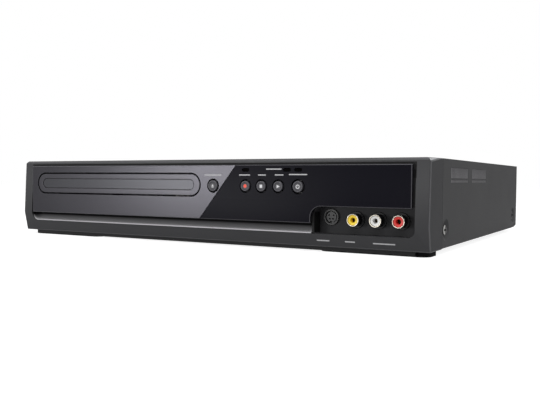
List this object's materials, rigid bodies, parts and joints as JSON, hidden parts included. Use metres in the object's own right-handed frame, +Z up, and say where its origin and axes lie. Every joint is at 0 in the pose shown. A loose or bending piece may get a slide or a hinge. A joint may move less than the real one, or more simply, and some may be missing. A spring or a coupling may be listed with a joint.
{
  "type": "disc recorder",
  "caption": "Low, wide disc recorder with a motor-driven disc tray behind a long rounded door, round front buttons, a dark display window and a recessed pocket of sockets.",
  "frame": {"origin": "the middle of the base, halfway between the foremost button cap and the hindmost socket, on the floor that the feet stand on", "axes": "+X to the right seen from the front, +Y from the front to the back, +Z up"},
  "size_m": [0.36, 0.2978, 0.0629],
  "materials": {
    "bezel_plastic": "satin, fine grain",
    "cover_paint": "satin, fine texture",
    "panel_grey": "metallic grey, glossy",
    "window_black": "piano black, glossy",
    "trim_black": "glossy",
    "button_grey": "satin",
    "smoked_clear": "smoked, glossy",
    "black_plastic": "moulded",
    "white_plastic": "moulded",
    "yellow_plastic": "moulded",
    "red_plastic": "moulded",
    "socket_nickel": "nickel plated",
    "screw_steel": "bright",
    "sheet_steel": "galvanised",
    "motor_steel": "plain",
    "core_iron": "lacquered laminations",
    "foot_rubber": "matte",
    "belt_rubber": "matte",
    "circuit_board": "solder resist",
    "lens_glass": "coated"
  },
  "bodies": {
    "case": {"foot_front_right": "foot_rubber", "foot_front_left": "foot_rubber", "foot_rear_right": "foot_rubber", "foot_rear_left": "foot_rubber", "ledge_trim": "trim_black", "front_bezel": "bezel_plastic", "tray_surround": "panel_grey", "display_window": "window_black", "light_guide": "smoked_clear", "front_board": "circuit_board", "display_tube": "smoked_clear", "av_jack_block": "black_plastic", "phono_shell_video": "socket_nickel", "phono_insulator_video": "yellow_plastic", "phono_shell_audio_left": "socket_nickel", "phono_insulator_audio_left": "white_plastic", "phono_shell_audio_right": "socket_nickel", "phono_insulator_audio_right": "red_plastic", "s_video_socket": "black_plastic", "side_screw_right_front": "screw_steel", "side_screw_left_front": "screw_steel", "side_screw_right_rear": "screw_steel", "side_screw_left_rear": "screw_steel", "rear_screw_left": "screw_steel", "rear_screw_right": "screw_steel", "top_cover": "cover_paint", "rear_panel": "sheet_steel", "main_board": "circuit_board", "power_board": "circuit_board", "transformer": "core_iron", "base_chassis": "sheet_steel", "rear_jack_block": "black_plastic", "mains_inlet": "black_plastic", "fan_frame": "black_plastic", "loader_frame": "black_plastic", "loading_motor": "motor_steel", "drive_belt": "belt_rubber", "clamp_bridge": "sheet_steel"},
    "tray": {"tray_door": "panel_grey", "disc_tray": "black_plastic"},
    "drive_gear": {"drive_gear": "white_plastic"},
    "pulley_gear": {"pulley_gear": "white_plastic"},
    "motor_pulley": {"motor_pulley": "white_plastic"},
    "traverse": {"traverse_plate": "sheet_steel", "spindle_motor": "motor_steel", "guide_rod_left": "motor_steel", "guide_rod_right": "motor_steel", "feed_motor": "motor_steel"},
    "cam_slider": {"cam_slider": "white_plastic"},
    "turntable": {"turntable": "black_plastic"},
    "disc_clamp": {"disc_clamp": "black_plastic"},
    "pickup": {"optical_pickup": "black_plastic"},
    "feed_screw": {"feed_screw": "motor_steel"},
    "lens": {"objective_lens": "lens_glass"},
    "fan_rotor": {"fan_rotor": "black_plastic"},
    "open_close_key": {"button_open_close": "button_grey"},
    "record_key": {"button_record": "button_grey"},
    "stop_key": {"button_stop": "button_grey"},
    "play_key": {"button_play": "button_grey"},
    "standby_key": {"button_standby": "button_grey"}
  },
  "joints": [
    {"name": "tray_slide", "type": "slide", "parent": "case", "child": "tray", "axis": [0, -1, 0], "range_m": [0, 0.136]},
    {"name": "drive_gear_spin", "type": "hinge", "parent": "case", "child": "drive_gear", "pos_m": [-0.0257, -0.11815, 0.03], "axis": [0, 0, -1], "range_deg": [0, 980]},
    {"name": "pulley_gear_spin", "type": "hinge", "parent": "case", "child": "pulley_gear", "pos_m": [-0.0497, -0.11815, 0.025], "axis": [0, 0, 1], "range_deg": [0, 2930]},
    {"name": "motor_pulley_spin", "type": "hinge", "parent": "case", "child": "motor_pulley", "pos_m": [-0.1, -0.11815, 0.025], "axis": [0, 0, 1], "range_deg": [0, 11050]},
    {"name": "traverse_lift", "type": "hinge", "parent": "case", "child": "traverse", "pos_m": [-0.0765, 0.02255, 0.0356], "axis": [-1, 0, 0], "range_deg": [0, 4.5]},
    {"name": "cam_slide", "type": "slide", "parent": "case", "child": "cam_slider", "axis": [-1, 0, 0], "range_m": [0, 0.0131]},
    {"name": "turntable_spin", "type": "hinge", "parent": "traverse", "child": "turntable", "pos_m": [-0.0765, -0.07515, 0.02791], "axis": [0, -0.0785, 0.9969], "continuous": true},
    {"name": "clamp_spin", "type": "hinge", "parent": "case", "child": "disc_clamp", "pos_m": [-0.0765, -0.07545, 0.0526], "axis": [0, 0, 1], "continuous": true},
    {"name": "pickup_slide", "type": "slide", "parent": "traverse", "child": "pickup", "axis": [0, 0.9969, 0.0785], "range_m": [0, 0.034]},
    {"name": "feed_screw_spin", "type": "hinge", "parent": "traverse", "child": "feed_screw", "pos_m": [-0.0365, -0.02675, 0.0248], "axis": [0, 0.9969, 0.0785], "range_deg": [0, 4090]},
    {"name": "lens_focus", "type": "slide", "parent": "pickup", "child": "lens", "axis": [0, -0.0785, 0.9969], "range_m": [-0.0004, 0.0004], "stiffness_N_per_m": 30},
    {"name": "fan_spin", "type": "hinge", "parent": "case", "child": "fan_rotor", "pos_m": [-0.135, 0.135, 0.036], "axis": [0, 1, 0], "continuous": true},
    {"name": "open_close_press", "type": "slide", "parent": "case", "child": "open_close_key", "axis": [0, 1, 0], "range_m": [0, 0.001], "stiffness_N_per_m": 600, "springref_m": -0.0005},
    {"name": "record_press", "type": "slide", "parent": "case", "child": "record_key", "axis": [0, 1, 0], "range_m": [0, 0.001], "stiffness_N_per_m": 600, "springref_m": -0.0005},
    {"name": "stop_press", "type": "slide", "parent": "case", "child": "stop_key", "axis": [0, 1, 0], "range_m": [0, 0.001], "stiffness_N_per_m": 600, "springref_m": -0.0005},
    {"name": "play_press", "type": "slide", "parent": "case", "child": "play_key", "axis": [0, 1, 0], "range_m": [0, 0.001], "stiffness_N_per_m": 600, "springref_m": -0.0005},
    {"name": "standby_press", "type": "slide", "parent": "case", "child": "standby_key", "axis": [0, 1, 0], "range_m": [0, 0.001], "stiffness_N_per_m": 600, "springref_m": -0.0005}
  ],
  "couplings": [
    {"joint": "drive_gear_spin", "follows": "tray_slide", "rad_per_m": 125},
    {"joint": "pulley_gear_spin", "follows": "tray_slide", "rad_per_m": 375},
    {"joint": "motor_pulley_spin", "follows": "tray_slide", "rad_per_m": 1416.7},
    {"joint": "cam_slide", "follows": "traverse_lift", "m_per_rad": 0.16552},
    {"joint": "clamp_spin", "follows": "turntable_spin", "ratio": 1},
    {"joint": "feed_screw_spin", "follows": "pickup_slide", "rad_per_m": 2094.4}
  ]
}
